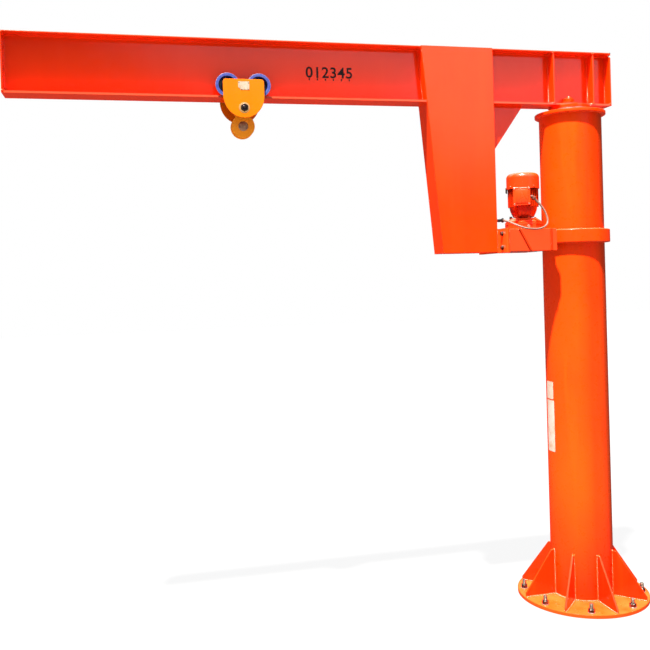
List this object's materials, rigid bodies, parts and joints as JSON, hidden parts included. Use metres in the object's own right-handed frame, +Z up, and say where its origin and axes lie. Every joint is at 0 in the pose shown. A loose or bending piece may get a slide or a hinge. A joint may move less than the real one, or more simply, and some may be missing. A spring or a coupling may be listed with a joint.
{
  "type": "pillar jib crane",
  "caption": "Pillar-mounted slewing jib crane: round column on a gusseted base, I-beam jib with drop leg, motor-driven slewing bracket and push trolley with load lug.",
  "frame": {"origin": "column axis at the underside of the base plate", "axes": "+Z up along the column; the jib points along -X with the slewing joint at zero; +Y is the far side as seen with the jib tip to the left"},
  "size_m": [3.752, 0.796, 3.397],
  "materials": {
    "column_paint": "gloss orange paint, sun-aged",
    "jib_paint": "gloss orange-red paint",
    "drive_paint": "gloss orange-red paint over castings",
    "trolley_paint": "semi-gloss amber paint",
    "lug_paint": "semi-gloss amber paint, darkened",
    "wheel_paint": "semi-gloss blue paint",
    "fastener_steel": "dark weathered steel",
    "machined_steel": "machined steel, oiled",
    "pin_steel": "dull brownish steel",
    "gland_plastic": "black plastic",
    "conduit_sheath": "pale ribbed sheath"
  },
  "bodies": {
    "column": {"base_plate": "column_paint", "base_gussets": "column_paint", "anchor_bolts": "fastener_steel", "column_tube": "column_paint", "head_flange": "column_paint", "bearing_housing": "machined_steel", "track_ring": "column_paint"},
    "jib": {"jib_web": "jib_paint", "jib_top_flange": "jib_paint", "jib_bottom_flange": "jib_paint", "jib_end_plates": "jib_paint", "jib_stiffeners": "jib_paint", "bearing_seat": "jib_paint", "hold_down_studs": "fastener_steel", "pivot_pin": "machined_steel", "leg_front_plate": "jib_paint", "leg_back_plate": "jib_paint", "leg_outer_wall": "jib_paint", "leg_inner_wall": "jib_paint", "leg_foot_plate": "jib_paint", "corner_gusset": "jib_paint", "leg_joint_plate": "jib_paint", "bracket_end_plate": "jib_paint", "joint_bolts": "fastener_steel", "bracket_side_plates": "jib_paint", "bracket_decks": "jib_paint", "bracket_ribs": "jib_paint", "drive_wheel": "machined_steel", "guide_rollers": "machined_steel", "gear_reducer": "drive_paint", "motor_frame": "drive_paint", "fan_cowl": "drive_paint", "terminal_box": "drive_paint", "conduit_glands": "gland_plastic", "motor_conduit": "conduit_sheath"},
    "trolley": {"trolley_plate_front": "trolley_paint", "trolley_plate_back": "trolley_paint", "wheel_axles": "machined_steel", "tie_bolt": "fastener_steel"},
    "lug": {"load_lug": "lug_paint", "load_pin": "pin_steel"},
    "front_outer_wheel": {"wheel_front_outer": "wheel_paint"},
    "front_inner_wheel": {"wheel_front_inner": "wheel_paint"},
    "back_outer_wheel": {"wheel_back_outer": "wheel_paint"},
    "back_inner_wheel": {"wheel_back_inner": "wheel_paint"}
  },
  "joints": [
    {"name": "jib_slew", "type": "hinge", "parent": "column", "child": "jib", "pos_m": [0, 0, 3.03], "axis": [0, 0, 1], "range_deg": [-180, 180]},
    {"name": "trolley_travel", "type": "slide", "parent": "jib", "child": "trolley", "axis": [1, 0, 0], "range_m": [-1.11, 0.9]},
    {"name": "front_outer_wheel_spin", "type": "hinge", "parent": "trolley", "child": "front_outer_wheel", "pos_m": [-2.158, 0, 3.1323], "axis": [0, 1, 0], "continuous": true},
    {"name": "front_inner_wheel_spin", "type": "hinge", "parent": "trolley", "child": "front_inner_wheel", "pos_m": [-1.98, 0, 3.1323], "axis": [0, 1, 0], "continuous": true},
    {"name": "back_outer_wheel_spin", "type": "hinge", "parent": "trolley", "child": "back_outer_wheel", "pos_m": [-2.158, 0, 3.1323], "axis": [0, 1, 0], "continuous": true},
    {"name": "back_inner_wheel_spin", "type": "hinge", "parent": "trolley", "child": "back_inner_wheel", "pos_m": [-1.98, 0, 3.1323], "axis": [0, 1, 0], "continuous": true},
    {"name": "lug_swing", "type": "hinge", "parent": "trolley", "child": "lug", "pos_m": [-2.069, 0, 3.001], "axis": [0, 1, 0], "range_deg": [-35, 35]}
  ],
  "couplings": [
    {"joint": "front_outer_wheel_spin", "follows": "trolley_travel", "rad_per_m": 17.544},
    {"joint": "front_inner_wheel_spin", "follows": "trolley_travel", "rad_per_m": 17.544},
    {"joint": "back_outer_wheel_spin", "follows": "trolley_travel", "rad_per_m": 17.544},
    {"joint": "back_inner_wheel_spin", "follows": "trolley_travel", "rad_per_m": 17.544}
  ]
}
